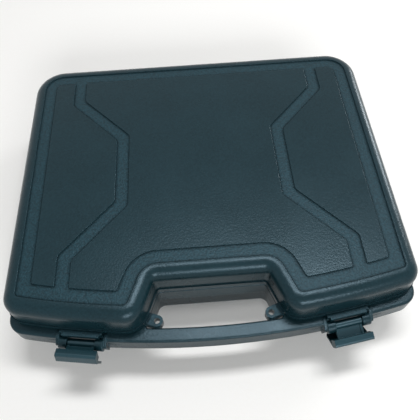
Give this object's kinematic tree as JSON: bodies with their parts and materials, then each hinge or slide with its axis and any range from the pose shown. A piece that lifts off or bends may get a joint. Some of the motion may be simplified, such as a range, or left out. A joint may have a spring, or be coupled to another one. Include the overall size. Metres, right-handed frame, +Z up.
{
  "type": "hard carry case",
  "caption": "Low hard case with a notched front, a bowed handle bar, two front latches, rear hinges and a foam lining.",
  "frame": {"origin": "below the middle of the case's overall length and depth, on the plane its feet stand on, with both latches flipped open", "axes": "+X to the right along the width, seen from the handle; +Y from the handle to the hinge; +Z up through the lid"},
  "size_m": [0.33, 0.3105, 0.076],
  "materials": {
    "shell": "fine moulded texture, charcoal",
    "latch": "satin, charcoal",
    "pin": "drawn",
    "foam": "open-cell foam, dark grey"
  },
  "bodies": {
    "base": {"base_shell": "shell", "latch_pin_left": "pin", "latch_pin_right": "pin", "hinge_pin_left": "pin", "hinge_pin_right": "pin", "base_foam_tray": "foam", "base_foam_floor": "foam"},
    "lid": {"lid_shell": "shell", "lid_foam": "foam"},
    "latch_left": {"latch_left": "latch"},
    "latch_right": {"latch_right": "latch"}
  },
  "joints": [
    {"name": "lid_hinge", "type": "hinge", "parent": "base", "child": "lid", "pos_m": [0, 0.15109, 0.0482], "axis": [-1, 0, 0], "range_deg": [0, 180]},
    {"name": "latch_left_hinge", "type": "hinge", "parent": "base", "child": "latch_left", "pos_m": [-0.10612, -0.13573, 0.0426], "axis": [0.9885, -0.1514, 0], "range_deg": [-72, 68]},
    {"name": "latch_right_hinge", "type": "hinge", "parent": "base", "child": "latch_right", "pos_m": [0.10612, -0.13573, 0.0426], "axis": [0.9885, 0.1514, 0], "range_deg": [-112, 28]}
  ]
}
